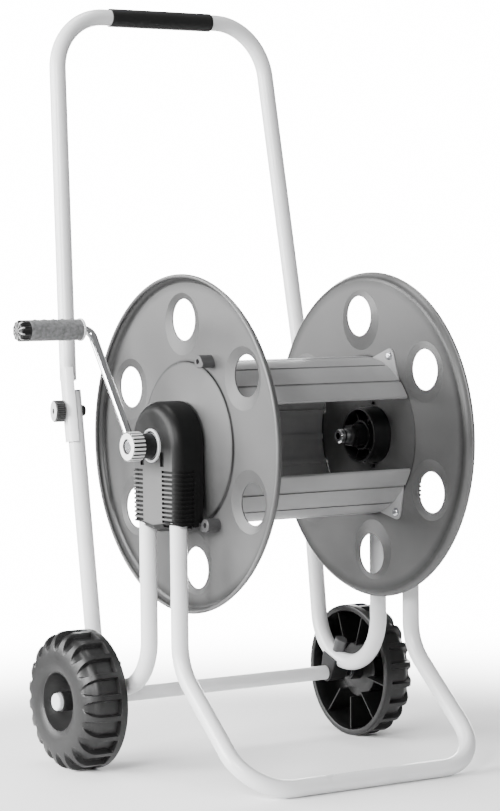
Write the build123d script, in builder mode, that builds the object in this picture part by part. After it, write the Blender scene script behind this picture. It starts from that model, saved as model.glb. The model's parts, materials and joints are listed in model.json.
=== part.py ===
from build123d import *
import os
from math import acos, cos, radians, sin, tan

os.makedirs("parts", exist_ok=True)

# Garden hose reel cart. Millimetres. X runs along the reel's axis, +Y to the back, +Z up.
# The origin is on the floor, straight below the middle of the reel. The crank is on the
# left (-X); pieces that come in pairs are made on the right and mirrored.

# Reel
reel_z = 385.8                 # height of the reel's axis
sheet = 1.5                    # sheet metal of the flanges and staves
face_in = 126.5                # hose side of each flange
face_out = face_in + sheet
lip_r = 195.0                  # overall radius of a flange
bead_r = 2.25                  # rolled edge of a flange
rim_bend = 9.0                 # bend between a flange's face and its lip
disc_r, disc_step, disc_ramp = 94.0, 1.8, 1.0         # pressed middle of a flange
bulge = 10.5                   # how far a flange's middle stands out at the hub
hub_hole_r = 34.6
hole_count, hole_circle, hole_r = 6, 142.8, 24.0
hole_turn = -4.4               # the top hole leans back by this many degrees
flare_r, flare_shift, flare_depth = 36.0, 5.0, 2.5    # pressed dish round each hole
stave_count = 3
stave_r = 93.6                 # middle of the sheet of a stave
stave_half = 32.0              # degrees each side of a stave's middle
stave_turn = 26.6              # the front stave leans forward by this many degrees
groove_places = [-19.0, 0.0, 19.0]     # three pressed grooves along each stave, in degrees
groove_depth, groove_half, wall_half = 1.6, 1.4, 0.45
edge_r = 2.2                   # rolled edge of a stave
tab_circle, tab_r = 107.0, 8.5 # bolted tabs at a stave's ends
tab_spread, tab_corner = 17.0, 1.0     # a tab's wide foot, in degrees, and its corners
dome_r, dome_high = 5.0, 3.0
drop_r, drop_tail, drop_long, drop_seat = 7.5, 7.0, 17.0, 2.0

# Hubs, bearings and water way
cup_open_x, cup_r, cup_wall, cup_floor_x = 114.0, 33.0, 2.5, 134.0
collar_r, ring_r, hub_boss_r, boss_face_x = 42.0, 18.0, 13.5, 104.0
hub_gap, ring_back, cup_ribs, cup_rib_t, cup_rib_back = 0.3, 3.0, 6, 2.0, 8.0
shaft_r, shaft_end_x = 10.0, 112.0
running = 0.06                 # radial running clearance
side_play = 0.3
water_r = 4.0
nipple_r, nipple_core_r, nipple_end_x, nipple_lead, nut_face = 8.4, 8.0, 84.0, 5.0, 5.0
seal_r, seal_x = 1.3, 124.0       # seals fill grooves twice this deep
spindle_in_x, bush_r, bush_end_x = 113.0, 14.5, 179.0
hub_screw_circle, screw_r, screw_head, screw_long = 38.0, 2.0, 2.0, 8.0
pin_x, cross_pin_r = 119.0, 2.5
elbow_x, elbow_r, elbow_socket = 203.0, 13.0, 10.0
inlet_r, inlet_long = 8.6, 6.0
inlet_neck_r, inlet_neck, inlet_slope, inlet_waist, inlet_lip, waist_r = 11.0, 6.0, 1.5, 4.0, 2.5, 6.6

# Hub covers
cover_face, cover_back, cover_wall = 177.5, 140.0, 2.7
cover_r, cover_half, cover_low, cover_apex = 50.0, 47.5, 294.0, 287.0
cover_soft = 12.0              # rounding of the face's edge
slot_count, slot_pitch, slot_high, slot_deep = 13, 5.1, 3.0, 1.5
slot_low_z, slot_back = 295.5, 12.0
pocket_wide, pocket_deep = 13.5, 2.1   # deeper inner end of each slot
notch_y, notch_z, notch_w, notch_high = 21.0, 370.8, 8.0, 16.5
strip_half = 20.0              # plain strip between the two columns of slots
relief_play = 0.5              # room for the stave nuts to pass behind the covers
plate_x, plate_t = 146.0, 2.0
plate_screw_places = [(-34, -82), (34, -82), (-30, 27), (30, 27)]

# Frame tubes
tube_r, tube_wall = 10.0, 1.5
hub_tube_x, front_y, rear_y = 164.5, -34.4, 31.4
tube_top_z = 380.0             # the hub tubes end inside the covers, beside the bush
knee_z = 134.0                 # where the front tubes turn forward
foot_y, foot_z, foot_bend = -174.0, tube_r, 60.0
u_low_z, u_back_y, u_bend = 98.0, 149.9, 62.0
leg_top_x, leg_top_y, leg_top_z = 168.0, 193.4, 441.5
plug_cap, plug_deep = 1.5, 15.0

# Handle
bar_z, bar_y, bar_half, bar_bend = 896.5, 254.6, 148.5, 70.0
end_x, end_y, end_z = 171.8, 196.8, 455.0
saddle_half, saddle_gap, saddle_wall = 84.0, 0.35, 3.0
saddle_low_z, saddle_top_z = 382.0, 470.0
sleeve_half, sleeve_wall = 73.0, 1.3
joint_z, bolt_r, bolt_play = 418.7, 3.0, 0.3
joint_turn = 12.0              # the joint's bolts lean back from the X axis by this many degrees
nut_r, nut_long, nut_gap, nut_lip = 13.0, 12.0, 0.8, 2.0
nut_flutes, flute_r = 30, 0.8
cap_dome, cap_skin, bolt_cap_r, bolt_cap_long, bolt_back = 3.6, 1.5, 6.8, 7.5, 3.0

# Axle and wheels
axle_y, axle_z = 125.6, 82.0
axle_tube_r, axle_tube_half = 8.75, 154.0
rod_r, rod_half = 5.0, 235.0
clamp_in, clamp_out = 151.5, 177.5
clamp_ring_r, clamp_saddle_r, clamp_open = 11.0, 14.0, 1.0
clip_head_r, clip_head = 5.0, 4.0
spacer_r, axle_cap_r, cap_face = 8.0, 10.3, 237.0
wheel_in, wheel_out, wheel_r = 186.0, 236.0, 82.0
skin, lug_deep, lug_count, pocket_arc = 3.0, 5.0, 20, 13.0
rim_band, shoulder_run, side_r = 9.0, 22.0, 58.0
dish_floor, dish_r, dish_soft, dish_draft = 205.0, 34.0, 4.0, 3.0
boss_r, boss_end, wheel_bush_r = 12.0, 231.0, 8.0
rib_count, rib_t, rib_back = 9, 2.5, 4.0

# Crank
arm_x, arm_r = -203.0, 5.0
arm_lean, arm_long, arm_bend, arm_tail = 34.4, 160.0, 11.0, 8.0
grip_in, grip_out, grip_r, cap_end = -215.0, -286.7, 12.3, -300.0
collar_wide, pin_r, pin_back = 3.0, 4.0, 8.0
bezel_r, bezel_wall, bezel_high = 19.25, 2.6, 2.5
crank_hub_r, crank_hub_half, crank_ribs, rib_gap_r = 17.0, 7.6, 22, 1.2
recess_r, recess_deep = 8.5, 2.5
collar_out_r, crank_screw_grip = 14.5, 15.0

reel_axis = Axis((0, 0, reel_z), (1, 0, 0))
axle_axis = Axis((0, axle_y, axle_z), (1, 0, 0))
reel_profile = Plane((0, 0, reel_z), x_dir=(1, 0, 0), z_dir=(0, -1, 0))    # (x, radius)
axle_profile = Plane((0, axle_y, axle_z), x_dir=(1, 0, 0), z_dir=(0, -1, 0))


def across(x, y=0.0, z=0.0):
    """A plane square to the reel's axis, with its origin at the given point."""
    return Plane((x, y, z), x_dir=(0, 1, 0), z_dir=(1, 0, 0))


def polar(radius, angle):
    """A point at an angle from straight up, leaning back when positive."""
    return (radius * sin(radians(angle)), radius * cos(radians(angle)))


def between(low, high, z):
    """The point at height z on the line through two points."""
    share = (z - low[2]) / (high[2] - low[2])
    return tuple(a + (b - a) * share for a, b in zip(low, high))


def bent_tube(points, radii, outer, inner=0.0):
    """A tube, or a rod when inner is 0, along straight runs joined by tangent arcs."""
    with BuildPart() as tube:
        with BuildLine() as route:
            FilletPolyline(*points, radius=radii)
        with BuildSketch(Plane(origin=route.line @ 0, z_dir=route.line % 0)):
            Circle(outer)
            if inner:
                Circle(inner, mode=Mode.SUBTRACT)
        sweep()
    return tube


def sector(inner, outer, start, end):
    """A flat piece of ring between two angles about the origin."""
    middle = (start + end) / 2
    with BuildSketch(Plane.XY) as piece:
        with BuildLine():
            ThreePointArc(polar(inner, start), polar(inner, middle), polar(inner, end))
            Line(polar(inner, end), polar(outer, end))
            ThreePointArc(polar(outer, end), polar(outer, middle), polar(outer, start))
            Line(polar(outer, start), polar(inner, start))
        make_face()
    return piece.sketch


def drop(radius, tail):
    """A drop outline: a circle drawn out to a smaller one above it."""
    with BuildSketch(Plane.XY) as piece:
        Circle(radius)
        with Locations((0, tail)):
            Circle(radius / 2)
        make_hull()
    return piece.sketch


def turned(piece, angle):
    """A finished piece turned about the reel's axis, forward at the top when positive."""
    return piece.part.rotate(reel_axis, angle)


# ---------------------------------------------------------------- frame tubes

front_points = [
    (-hub_tube_x, front_y, tube_top_z),
    (-hub_tube_x, front_y, knee_z),
    (-hub_tube_x, foot_y, foot_z),
    (hub_tube_x, foot_y, foot_z),
    (hub_tube_x, front_y, knee_z),
    (hub_tube_x, front_y, tube_top_z),
]
front_tube = bent_tube(front_points, foot_bend, tube_r, tube_r - tube_wall)
front_tube.part.label = "front_tube"
export_step(front_tube.part, "parts/front_tube.step")

leg_low = (hub_tube_x, u_back_y, u_low_z)
leg_top = (leg_top_x, leg_top_y, leg_top_z)
leg_points = [(hub_tube_x, rear_y, tube_top_z), (hub_tube_x, rear_y, u_low_z), leg_low, leg_top]
joint = between(leg_low, leg_top, joint_z)
leg_dir = Vector(*leg_top) - Vector(*leg_low)
joint_out = Vector(cos(radians(joint_turn)), sin(radians(joint_turn)), 0)
joint_plane = Plane(joint, x_dir=(0, 0, 1), z_dir=joint_out)     # faces outwards along the bolt
joint_axis = Axis(joint, joint_out)

leg_space = bent_tube(leg_points, u_bend, tube_r + saddle_gap)

# The clips that hold the axle sit under the rear legs' bends: clip_dir points from the middle of
# the bend to the axle, and clip_point is the middle of the bent tube on that line.
leg_rise = acos(leg_dir.normalized().Y)
bend_centre = Vector(hub_tube_x, u_back_y - u_bend * tan(leg_rise / 2), u_low_z + u_bend)
to_axle = Vector(0, axle_y - bend_centre.Y, axle_z - bend_centre.Z)
clip_dir = to_axle.normalized()
clip_point = bend_centre + clip_dir * u_bend
clip_plane = Plane(clip_point, x_dir=(1, 0, 0), z_dir=clip_dir)

rear_leg_tube = bent_tube(leg_points, u_bend, tube_r, tube_r - tube_wall)
with BuildPart() as rear_leg_right:
    add(rear_leg_tube.part)
    with BuildSketch(joint_plane):
        Circle(bolt_r + bolt_play)
    extrude(amount=2 * tube_r, both=True, mode=Mode.SUBTRACT)
    with BuildSketch(clip_plane):
        Circle(bolt_r + bolt_play)
    extrude(amount=1.5 * tube_r, both=True, mode=Mode.SUBTRACT)
rear_leg_right.part.label = "rear_leg_right"
export_step(rear_leg_right.part, "parts/rear_leg_right.step")

with BuildPart() as rear_leg_left:
    mirror(rear_leg_right.part, about=Plane.YZ)
rear_leg_left.part.label = "rear_leg_left"
export_step(rear_leg_left.part, "parts/rear_leg_left.step")

# Plastic plugs in the top ends of the rear legs.
with BuildPart() as leg_plugs:
    with BuildSketch(Plane(origin=leg_top, z_dir=leg_dir)):
        Circle(tube_r)
    extrude(amount=plug_cap)
    with BuildSketch(Plane(origin=leg_top, z_dir=leg_dir)):
        Circle(tube_r - tube_wall)
    extrude(amount=-plug_deep)
    mirror(about=Plane.YZ)
leg_plugs.part.label = "leg_plugs"
export_step(leg_plugs.part, "parts/leg_plugs.step")

# ---------------------------------------------------------------- handle

# One bent tube. Each lower end is pressed into a saddle that wraps the outside of a rear leg.
handle_points = [
    (-end_x, end_y, end_z),
    (-bar_half, bar_y, bar_z),
    (bar_half, bar_y, bar_z),
    (end_x, end_y, end_z),
]
handle_bow = bent_tube(handle_points, bar_bend, tube_r, tube_r - tube_wall)
saddle_low = between(leg_low, leg_top, saddle_low_z)
saddle_top = between(leg_low, leg_top, saddle_top_z)
saddle_r = tube_r + saddle_gap
with BuildPart() as saddle:
    with BuildSketch(Plane(origin=saddle_low, x_dir=(0, 1, 0), z_dir=leg_dir)):
        saddle_turn = 180 - joint_turn
        add(sector(saddle_r, saddle_r + saddle_wall, saddle_turn - saddle_half, saddle_turn + saddle_half))
    extrude(amount=(Vector(*saddle_top) - Vector(*saddle_low)).length)
    with BuildSketch(joint_plane):
        Circle(bolt_r + bolt_play)
    extrude(amount=2 * tube_r, mode=Mode.SUBTRACT)
with BuildPart() as handle_tube:
    add(handle_bow.part)
    add(saddle.part)
    mirror(saddle.part, about=Plane.YZ)
handle_tube.part.label = "handle_tube"
export_step(handle_tube.part, "parts/handle_tube.step")

with BuildPart() as handle_sleeve:
    with BuildSketch(across(-sleeve_half, bar_y, bar_z)):
        Circle(tube_r + sleeve_wall)
    extrude(amount=2 * sleeve_half)
    fillet(handle_sleeve.edges().filter_by(GeomType.CIRCLE), sleeve_wall * 0.6)
    with BuildSketch(across(-sleeve_half, bar_y, bar_z)):
        Circle(tube_r)
    extrude(amount=2 * sleeve_half, mode=Mode.SUBTRACT)
handle_sleeve.part.label = "handle_sleeve"
export_step(handle_sleeve.part, "parts/handle_sleeve.step")

# The joint's bolts, the domed caps on the inside of the legs and the hand nuts outside.
nut_start = saddle_r + saddle_wall + nut_gap       # distances along the bolt from the leg's middle
cap_start = -tube_r - cap_dome
with BuildPart() as handle_bolts:
    with BuildSketch(joint_plane.offset(cap_start + cap_skin)):
        Circle(bolt_r)
    extrude(amount=nut_start + nut_long - bolt_back - cap_start - cap_skin)
    mirror(about=Plane.YZ)
handle_bolts.part.label = "handle_bolts"
export_step(handle_bolts.part, "parts/handle_bolts.step")

with BuildPart() as bolt_caps:
    with BuildSketch(joint_plane.offset(cap_start)):
        Circle(bolt_cap_r)
    extrude(amount=bolt_cap_long)
    fillet(bolt_caps.faces().sort_by(joint_axis)[0].edges(), cap_dome * 0.8)
    with BuildSketch(joint_plane.offset(cap_start + cap_skin)):
        Circle(bolt_r)
    extrude(amount=bolt_cap_long, mode=Mode.SUBTRACT)
    add(leg_space.part, mode=Mode.SUBTRACT)
    mirror(about=Plane.YZ)
bolt_caps.part.label = "bolt_caps"
export_step(bolt_caps.part, "parts/bolt_caps.step")

with BuildPart() as thumb_nut_right:
    with BuildSketch(joint_plane.offset(nut_start)):
        Circle(nut_r)
        with PolarLocations(nut_r, nut_flutes):
            Circle(flute_r, mode=Mode.SUBTRACT)
    extrude(amount=nut_long)
    with BuildSketch(joint_plane.offset(nut_start + nut_long - nut_lip)):
        Circle(nut_r)
    extrude(amount=nut_lip)
    chamfer(thumb_nut_right.faces().sort_by(joint_axis)[-1].edges(), 0.8)
    with BuildSketch(joint_plane.offset(nut_start)):
        Circle(bolt_r + running)
    extrude(amount=nut_long, mode=Mode.SUBTRACT)
thumb_nut_right.part.label = "thumb_nut_right"
export_step(thumb_nut_right.part, "parts/thumb_nut_right.step")

with BuildPart() as thumb_nut_left:
    mirror(thumb_nut_right.part, about=Plane.YZ)
thumb_nut_left.part.label = "thumb_nut_left"
export_step(thumb_nut_left.part, "parts/thumb_nut_left.step")

# ---------------------------------------------------------------- axle

with BuildPart() as axle_tube:
    with BuildSketch(across(-axle_tube_half, axle_y, axle_z)):
        Circle(axle_tube_r)
        Circle(axle_tube_r - tube_wall, mode=Mode.SUBTRACT)
    extrude(amount=2 * axle_tube_half)
axle_tube.part.label = "axle_tube"
export_step(axle_tube.part, "parts/axle_tube.step")

with BuildPart() as axle_rod:
    with BuildSketch(across(-rod_half, axle_y, axle_z)):
        Circle(rod_r)
    extrude(amount=2 * rod_half)
    chamfer(axle_rod.edges().filter_by(GeomType.CIRCLE), 0.8)
axle_rod.part.label = "axle_rod"
export_step(axle_rod.part, "parts/axle_rod.step")

# Clips that hold the axle under the rear legs' bends.
with BuildPart() as leg_clamp_right:
    with BuildSketch(across(clamp_in)):
        with Locations((axle_y, axle_z)):
            Circle(clamp_ring_r)
        with Locations((clip_point.Y, clip_point.Z)):
            Circle(clamp_saddle_r)
        make_hull()
    extrude(amount=clamp_out - clamp_in)
    fillet(leg_clamp_right.edges().filter_by(Plane.YZ), 2.0)
    with BuildSketch(clip_plane.offset(-clamp_open)):
        Rectangle(4 * clamp_saddle_r, 4 * clamp_saddle_r)
    extrude(amount=-2 * clamp_saddle_r, mode=Mode.SUBTRACT)
    add(leg_space.part, mode=Mode.SUBTRACT)
    with BuildSketch(across(clamp_in, axle_y, axle_z)):
        Circle(axle_tube_r)
    extrude(amount=axle_tube_half - clamp_in, mode=Mode.SUBTRACT)
    with BuildSketch(across(clamp_in, axle_y, axle_z)):
        Circle(rod_r)
    extrude(amount=clamp_out - clamp_in, mode=Mode.SUBTRACT)
    with BuildSketch(clip_plane):
        Circle(clip_head_r)
    extrude(amount=tube_r + clip_head, mode=Mode.SUBTRACT)
leg_clamp_right.part.label = "leg_clamp_right"
export_step(leg_clamp_right.part, "parts/leg_clamp_right.step")

with BuildPart() as leg_clamp_left:
    mirror(leg_clamp_right.part, about=Plane.YZ)
leg_clamp_left.part.label = "leg_clamp_left"
export_step(leg_clamp_left.part, "parts/leg_clamp_left.step")

# Captive bolts in the clips, and the drop-shaped nuts on the inside of the bends.
with BuildPart() as clamp_bolts:
    with BuildSketch(clip_plane.offset(tube_r + saddle_gap)):
        Circle(clip_head_r - bolt_play)
    extrude(amount=clip_head - saddle_gap)
    with BuildSketch(clip_plane.offset(tube_r + saddle_gap)):
        Circle(bolt_r)
    extrude(amount=-(2 * tube_r + 0.7 * drop_long))
    mirror(about=Plane.YZ)
clamp_bolts.part.label = "clamp_bolts"
export_step(clamp_bolts.part, "parts/clamp_bolts.step")

with BuildPart() as clamp_nuts:
    with BuildSketch(clip_plane.offset(-(tube_r - drop_seat))):
        add(drop(drop_r, drop_tail))
    extrude(amount=-drop_long)
    fillet(clamp_nuts.faces().sort_by(Axis.Z)[-1].edges(), 1.2)
    with BuildSketch(clip_plane):
        Circle(bolt_r)
    extrude(amount=-(tube_r + 0.8 * drop_long), mode=Mode.SUBTRACT)
    add(leg_space.part, mode=Mode.SUBTRACT)
    mirror(about=Plane.YZ)
clamp_nuts.part.label = "clamp_nuts"
export_step(clamp_nuts.part, "parts/clamp_nuts.step")

with BuildPart() as wheel_spacers:
    with BuildSketch(across(clamp_out, axle_y, axle_z)):
        Circle(spacer_r)
        Circle(rod_r, mode=Mode.SUBTRACT)
    extrude(amount=wheel_in - clamp_out - side_play)
    mirror(about=Plane.YZ)
wheel_spacers.part.label = "wheel_spacers"
export_step(wheel_spacers.part, "parts/wheel_spacers.step")

# Push-on caps that keep the wheels on the rod.
with BuildPart() as axle_caps:
    with BuildSketch(across(boss_end + side_play, axle_y, axle_z)):
        Circle(axle_cap_r)
    extrude(amount=cap_face - boss_end - side_play)
    fillet(axle_caps.faces().sort_by(Axis.X)[-1].edges(), 2.5)
    with BuildSketch(across(boss_end, axle_y, axle_z)):
        Circle(rod_r)
    extrude(amount=rod_half - boss_end, mode=Mode.SUBTRACT)
    mirror(about=Plane.YZ)
axle_caps.part.label = "axle_caps"
export_step(axle_caps.part, "parts/axle_caps.step")

# ---------------------------------------------------------------- wheels

shoulder = wheel_out - shoulder_run


def wheel_outline(inset):
    """Section of the wheel without its dish, as (x, radius), moved in by an inset."""
    side_x, tread = wheel_out - inset, wheel_r - inset
    middle_x = shoulder + (shoulder_run - inset) * cos(radians(45))
    middle_r = side_r + (tread - side_r) * sin(radians(45))
    with BuildSketch(Plane.XY) as section:
        with BuildLine():
            Polyline((wheel_in, 0), (wheel_in, tread), (shoulder, tread))
            ThreePointArc((shoulder, tread), (middle_x, middle_r), (side_x, side_r))
            Polyline((side_x, side_r), (side_x, 0), (wheel_in, 0))
        make_face()
    return section.sketch


def dish_outline(outset):
    """Section of the hollow in the wheel's outer side, made larger by an outset."""
    floor_x, mouth = dish_floor - outset, dish_r + outset
    with BuildSketch(Plane.XY) as section:
        with BuildLine():
            Polyline((floor_x, 0), (floor_x, mouth - dish_draft), (wheel_out - dish_soft, mouth),
                     (wheel_out, mouth + dish_soft), (wheel_out + 1, mouth + dish_soft),
                     (wheel_out + 1, 0), (floor_x, 0))
        make_face()
    return section.sketch


# The gap between two lugs reaches over the tread and the shoulder down to a deeper skin.
with BuildPart() as pocket:
    with BuildSketch(axle_profile):
        with BuildLine():
            Polyline((wheel_in + rim_band, side_r), (wheel_in + rim_band, wheel_r + 1),
                     (wheel_out + 1, wheel_r + 1), (wheel_out + 1, side_r),
                     (wheel_in + rim_band, side_r))
        make_face()
        add(wheel_outline(lug_deep), mode=Mode.SUBTRACT)
    revolve(axis=axle_axis, revolution_arc=pocket_arc)

# The inner side is hollow, with ribs from the hub to the rim.
with BuildPart() as wheel_hollow:
    with BuildSketch(axle_profile):
        add(wheel_outline(lug_deep + skin))
        add(dish_outline(skin), mode=Mode.SUBTRACT)
    revolve(axis=axle_axis)
    with BuildSketch(across(wheel_in + rib_back, axle_y, axle_z)):
        with PolarLocations(wheel_r / 2, rib_count):
            Rectangle(wheel_r, rib_t)
    extrude(amount=wheel_out - wheel_in, mode=Mode.SUBTRACT)
    with BuildSketch(across(wheel_in, axle_y, axle_z)):
        Circle(boss_r)
    extrude(amount=wheel_out - wheel_in, mode=Mode.SUBTRACT)

with BuildPart() as wheel_right:
    with BuildSketch(axle_profile):
        add(wheel_outline(0))
        add(dish_outline(0), mode=Mode.SUBTRACT)
    revolve(axis=axle_axis)
    for step in range(lug_count):
        add(pocket.part.rotate(axle_axis, step * 360 / lug_count), mode=Mode.SUBTRACT)
    add(wheel_hollow.part, mode=Mode.SUBTRACT)
    with BuildSketch(across(wheel_in, axle_y, axle_z)):
        Circle(boss_r)
    extrude(amount=boss_end - wheel_in)
    chamfer(wheel_right.edges().filter_by(GeomType.CIRCLE).group_by(SortBy.RADIUS)[0], 1.0)
    with BuildSketch(across(wheel_in, axle_y, axle_z)):
        Circle(wheel_bush_r)
    extrude(amount=boss_end - wheel_in, mode=Mode.SUBTRACT)
wheel_right.part.label = "wheel_right"
export_step(wheel_right.part, "parts/wheel_right.step")

with BuildPart() as wheel_left:
    mirror(wheel_right.part, about=Plane.YZ)
wheel_left.part.label = "wheel_left"
export_step(wheel_left.part, "parts/wheel_left.step")

with BuildPart() as wheel_bush_right:
    with BuildSketch(across(wheel_in, axle_y, axle_z)):
        Circle(wheel_bush_r)
        Circle(rod_r + running, mode=Mode.SUBTRACT)
    extrude(amount=boss_end - wheel_in)
wheel_bush_right.part.label = "wheel_bush_right"
export_step(wheel_bush_right.part, "parts/wheel_bush_right.step")

with BuildPart() as wheel_bush_left:
    mirror(wheel_bush_right.part, about=Plane.YZ)
wheel_bush_left.part.label = "wheel_bush_left"
export_step(wheel_bush_left.part, "parts/wheel_bush_left.step")

# ---------------------------------------------------------------- reel

# One flange: a dished sheet with a rolled lip, a pressed middle that bulges out to the
# hub, and six round holes, each in a shallow dish pressed towards the hose.
rim_x = face_in + rim_bend
rim_r = lip_r - bead_r + bead_r / 2
disc_x = face_in + disc_step
with BuildPart() as flare_boss:
    with BuildSketch(Plane.YZ.offset(face_in)):
        with Locations((0, reel_z + hole_circle - flare_shift)):
            Circle(flare_r)
    with BuildSketch(Plane.YZ.offset(face_in - flare_depth)):
        with Locations((0, reel_z + hole_circle)):
            Circle(hole_r)
    loft()
with BuildPart() as flare_cut:
    add(flare_boss.part.translate((sheet, 0, 0)))
    with BuildSketch(Plane.YZ.offset(face_in - 2 * flare_depth)):
        with Locations((0, reel_z + hole_circle)):
            Circle(hole_r)
    extrude(amount=4 * flare_depth)

with BuildPart() as flange_right:
    with BuildSketch(reel_profile):
        with BuildLine():
            Polyline((face_in + bulge, hub_hole_r), (disc_x, disc_r), (face_in, disc_r + disc_ramp),
                     (face_in, rim_r - rim_bend))
            CenterArc((rim_x, rim_r - rim_bend), rim_bend, 180, -90)
            Line((rim_x, rim_r), (rim_x, rim_r - sheet))
            CenterArc((rim_x, rim_r - rim_bend), rim_bend - sheet, 90, 90)
            Polyline((face_out, rim_r - rim_bend), (face_out, disc_r + disc_ramp),
                     (disc_x + sheet, disc_r), (face_out + bulge, hub_hole_r),
                     (face_in + bulge, hub_hole_r))
        make_face()
        with Locations((rim_x, lip_r - bead_r)):
            Circle(bead_r)
    revolve(axis=reel_axis)
    for step in range(hole_count):
        add(turned(flare_boss, hole_turn + step * 360 / hole_count))
    for step in range(hole_count):
        add(turned(flare_cut, hole_turn + step * 360 / hole_count), mode=Mode.SUBTRACT)
    with BuildSketch(across(0, 0, reel_z)):
        for step in range(stave_count):
            with Locations(polar(tab_circle, -stave_turn - step * 360 / stave_count)):
                Circle(bolt_r + bolt_play)
        with PolarLocations(hub_screw_circle, 2, start_angle=90):
            Circle(screw_r + bolt_play)
    extrude(amount=lip_r, mode=Mode.SUBTRACT)
flange_right.part.label = "flange_right"
export_step(flange_right.part, "parts/flange_right.step")

with BuildPart() as flange_left:
    mirror(flange_right.part, about=Plane.YZ)
flange_left.part.label = "flange_left"
export_step(flange_left.part, "parts/flange_left.step")

# One stave, made at the top and turned to its place: a curved channel with three grooves,
# rolled edges and a bolted tab at each end.
land_starts = [-stave_half] + [place + groove_half for place in groove_places]
land_ends = [place - groove_half for place in groove_places] + [stave_half]
floor_r = stave_r - groove_depth
with BuildPart() as stave:
    with BuildSketch(across(-face_in, 0, reel_z)):
        for start, end in zip(land_starts, land_ends):
            add(sector(stave_r - sheet / 2, stave_r + sheet / 2, start, end))
        for place in groove_places:
            add(sector(floor_r - sheet / 2, floor_r + sheet / 2, place - groove_half, place + groove_half))
            for wall in (place - groove_half, place + groove_half):
                add(sector(floor_r - sheet / 2, stave_r + sheet / 2, wall - wall_half, wall + wall_half))
        for side in (-1, 1):
            with Locations(polar(stave_r - edge_r + sheet / 2, side * stave_half)):
                Circle(edge_r)
    extrude(amount=2 * face_in)
    for tab_x in (-face_in, face_in - sheet):
        with BuildSketch(across(tab_x, 0, reel_z)):
            with Locations(polar(tab_circle, 0)):
                Circle(tab_r)
            with Locations(polar(stave_r, -tab_spread), polar(stave_r, tab_spread)):
                Circle(tab_corner)
            make_hull()
            Circle(stave_r - sheet / 2, mode=Mode.SUBTRACT)
        extrude(amount=sheet)
    with BuildSketch(across(0, 0, reel_z)):
        with Locations(polar(tab_circle, 0)):
            Circle(bolt_r + bolt_play)
    extrude(amount=face_in, both=True, mode=Mode.SUBTRACT)

for step, place in enumerate(("front", "low", "back")):
    with BuildPart() as placed_stave:
        add(turned(stave, stave_turn + step * 360 / stave_count))
    placed_stave.part.label = f"stave_{place}"
    export_step(placed_stave.part, f"parts/stave_{place}.step")

# Domed bolts inside, drop-shaped nuts outside.
with BuildPart() as stave_bolt:
    with BuildSketch(across(face_in - sheet, 0, reel_z)):
        with Locations(polar(tab_circle, 0)):
            Circle(dome_r)
    extrude(amount=-dome_high)
    fillet(stave_bolt.faces().sort_by(Axis.X)[0].edges(), dome_high * 0.9)
    with BuildSketch(across(face_in - sheet, 0, reel_z)):
        with Locations(polar(tab_circle, 0)):
            Circle(bolt_r)
    extrude(amount=sheet + sheet + 0.7 * drop_long)

with BuildPart() as stave_nut:
    with BuildSketch(across(face_out, 0, reel_z)):
        with Locations(Location((0, tab_circle), 90)):
            add(drop(drop_r, drop_tail))
    extrude(amount=drop_long)
    fillet(stave_nut.faces().sort_by(Axis.X)[-1].edges(), 1.2)
    with BuildSketch(across(face_out, 0, reel_z)):
        with Locations(polar(tab_circle, 0)):
            Circle(bolt_r)
    extrude(amount=drop_long, mode=Mode.SUBTRACT)

with BuildPart() as stave_bolts:
    for step in range(stave_count):
        add(turned(stave_bolt, stave_turn + step * 360 / stave_count))
    mirror(about=Plane.YZ)
stave_bolts.part.label = "stave_bolts"
export_step(stave_bolts.part, "parts/stave_bolts.step")

with BuildPart() as stave_nuts:
    for step in range(stave_count):
        add(turned(stave_nut, stave_turn + step * 360 / stave_count))
    mirror(about=Plane.YZ)
stave_nuts.part.label = "stave_nuts"
export_step(stave_nuts.part, "parts/stave_nuts.step")

# ---------------------------------------------------------------- hubs

# A cup with an inner ring and a boss, held in the flange's centre by a collar outside.
seat_x = face_out + bulge
with BuildPart() as hub_cup_right:
    with BuildSketch(reel_profile):
        with BuildLine():
            Polyline((cup_open_x, cup_r - cup_wall), (cup_open_x, cup_r), (seat_x, hub_hole_r - hub_gap),
                     (seat_x, collar_r), (seat_x + cup_wall, collar_r), (seat_x + cup_wall, 0),
                     (cup_floor_x, 0), (cup_floor_x, cup_r - cup_wall), (cup_open_x, cup_r - cup_wall))
        make_face()
    revolve(axis=reel_axis)
    with BuildSketch(across(cup_floor_x, 0, reel_z)):
        Circle(ring_r)
        Circle(ring_r - cup_wall, mode=Mode.SUBTRACT)
    extrude(amount=-(cup_floor_x - cup_open_x - ring_back))
    with BuildSketch(across(cup_floor_x, 0, reel_z)):
        Circle(hub_boss_r)
    extrude(amount=-(cup_floor_x - boss_face_x))
    with BuildSketch(across(cup_floor_x, 0, reel_z)):
        with PolarLocations((cup_r - cup_wall + ring_r) / 2, cup_ribs):
            Rectangle(cup_r - ring_r, cup_rib_t)
    extrude(amount=-(cup_floor_x - cup_open_x - cup_rib_back))
    with BuildSketch(across(seat_x + cup_wall, 0, reel_z)):
        Circle(shaft_r + running)
        with PolarLocations(hub_screw_circle, 2, start_angle=90):
            Circle(screw_r)
    extrude(amount=-(seat_x + cup_wall - shaft_end_x), mode=Mode.SUBTRACT)
    with BuildSketch(across(boss_face_x, 0, reel_z)):
        Circle(water_r)
    extrude(amount=shaft_end_x - boss_face_x, mode=Mode.SUBTRACT)
hub_cup_right.part.label = "hub_cup_right"
export_step(hub_cup_right.part, "parts/hub_cup_right.step")

with BuildPart() as hub_cup_left:
    mirror(hub_cup_right.part, about=Plane.YZ)
    with BuildSketch(Plane((-pin_x, 0, reel_z), x_dir=(1, 0, 0), z_dir=(0, 0, 1))):
        Circle(cross_pin_r)
    extrude(amount=hub_boss_r, both=True, mode=Mode.SUBTRACT)
hub_cup_left.part.label = "hub_cup_left"
export_step(hub_cup_left.part, "parts/hub_cup_left.step")

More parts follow.
